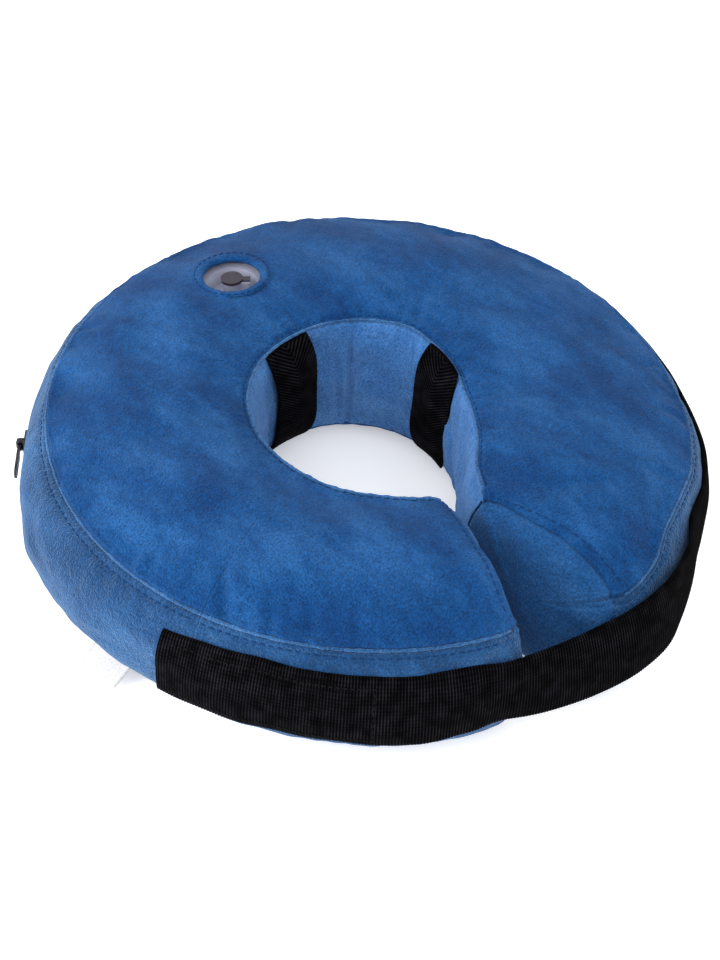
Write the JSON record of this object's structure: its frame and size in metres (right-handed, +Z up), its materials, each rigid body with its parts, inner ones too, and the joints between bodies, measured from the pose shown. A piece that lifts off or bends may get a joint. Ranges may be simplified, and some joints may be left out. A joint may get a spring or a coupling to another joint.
{
  "type": "elizabethan collar",
  "caption": "Inflatable C-shaped recovery collar for a pet: plush cover over an air bladder, webbing closure strap, air valve, side zip and webbing loops for the pet's own collar.",
  "frame": {"origin": "on the ring's axis, in the middle of the neck opening, at the level of the surface that the collar lies on", "axes": "+Z up along the neck opening's axis, +X through the right-hand neck loop, +Y away from the split, which faces about -Y"},
  "size_m": [0.3552, 0.3543, 0.0894],
  "materials": {
    "plush": "short blue pile",
    "bladder_film": "clear soft film",
    "strap_webbing": "black ribbed webbing",
    "neck_webbing": "black herringbone webbing",
    "hook_and_loop": "black hook-and-loop tape",
    "zip_tape": "black woven tape",
    "zip_coil": "black moulded coil",
    "zip_metal": "black enamel",
    "valve_pvc": "clear soft plastic",
    "valve_plug": "dark brown soft plug",
    "care_tag": "blank translucent tag"
  },
  "bodies": {
    "left_arm": {"cover_top_left": "plush", "cover_outer_left": "plush", "cover_bottom_left": "plush", "cover_inner_left": "plush", "cover_end_left": "plush", "bladder_left": "bladder_film", "loop_patch": "hook_and_loop", "neck_loop_back": "neck_webbing", "neck_loop_left": "neck_webbing", "zip_tape_upper": "zip_tape", "zip_tape_lower": "zip_tape", "zip_coil": "zip_coil", "zip_stops": "zip_metal", "valve_binding": "plush", "valve_disc": "valve_pvc", "care_tag": "care_tag"},
    "right_arm": {"cover_top_right": "plush", "cover_outer_right": "plush", "cover_bottom_right": "plush", "cover_inner_right": "plush", "cover_end_right": "plush", "bladder_right": "bladder_film", "strap_sewn": "strap_webbing", "neck_loop_right": "neck_webbing"},
    "strap": {"strap_free": "strap_webbing", "hook_tape": "hook_and_loop"},
    "zip_slider": {"zip_slider": "zip_metal"},
    "zip_pull": {"zip_pull": "zip_metal"},
    "valve_stem": {"valve_stem": "valve_pvc", "valve_flap": "valve_pvc"},
    "valve_plug": {"valve_plug": "valve_plug"}
  },
  "joints": [
    {"name": "ring_open", "type": "hinge", "parent": "left_arm", "child": "right_arm", "pos_m": [0.1021, 0.14581, 0.044], "axis": [0, 0, 1], "range_deg": [0, 22], "stiffness_Nm_per_rad": 0.5},
    {"name": "strap_peel", "type": "hinge", "parent": "right_arm", "child": "strap", "pos_m": [0.01557, -0.17792, 0.041], "axis": [0, 0, 1], "range_deg": [0, 66]},
    {"name": "zip_run", "type": "hinge", "parent": "left_arm", "child": "zip_slider", "pos_m": [0, 0, 0.041], "axis": [0, 0, 1], "range_deg": [-69, 0]},
    {"name": "zip_pull_swing", "type": "hinge", "parent": "zip_slider", "child": "zip_pull", "pos_m": [-0.13607, 0.11829, 0.041], "axis": [0, 0, 1], "range_deg": [-165, 0]},
    {"name": "valve_stem_slide", "type": "slide", "parent": "left_arm", "child": "valve_stem", "axis": [0.0035, 0.1014, 0.9948], "range_m": [0, 0.012]},
    {"name": "valve_plug_open", "type": "hinge", "parent": "valve_stem", "child": "valve_plug", "pos_m": [0.0114, 0.10688, 0.08466], "axis": [0.669, 0.7392, -0.0777], "range_deg": [0, 120]}
  ],
  "couplings": [
    {"joint": "strap_peel", "follows": "ring_open", "ratio": 3}
  ]
}
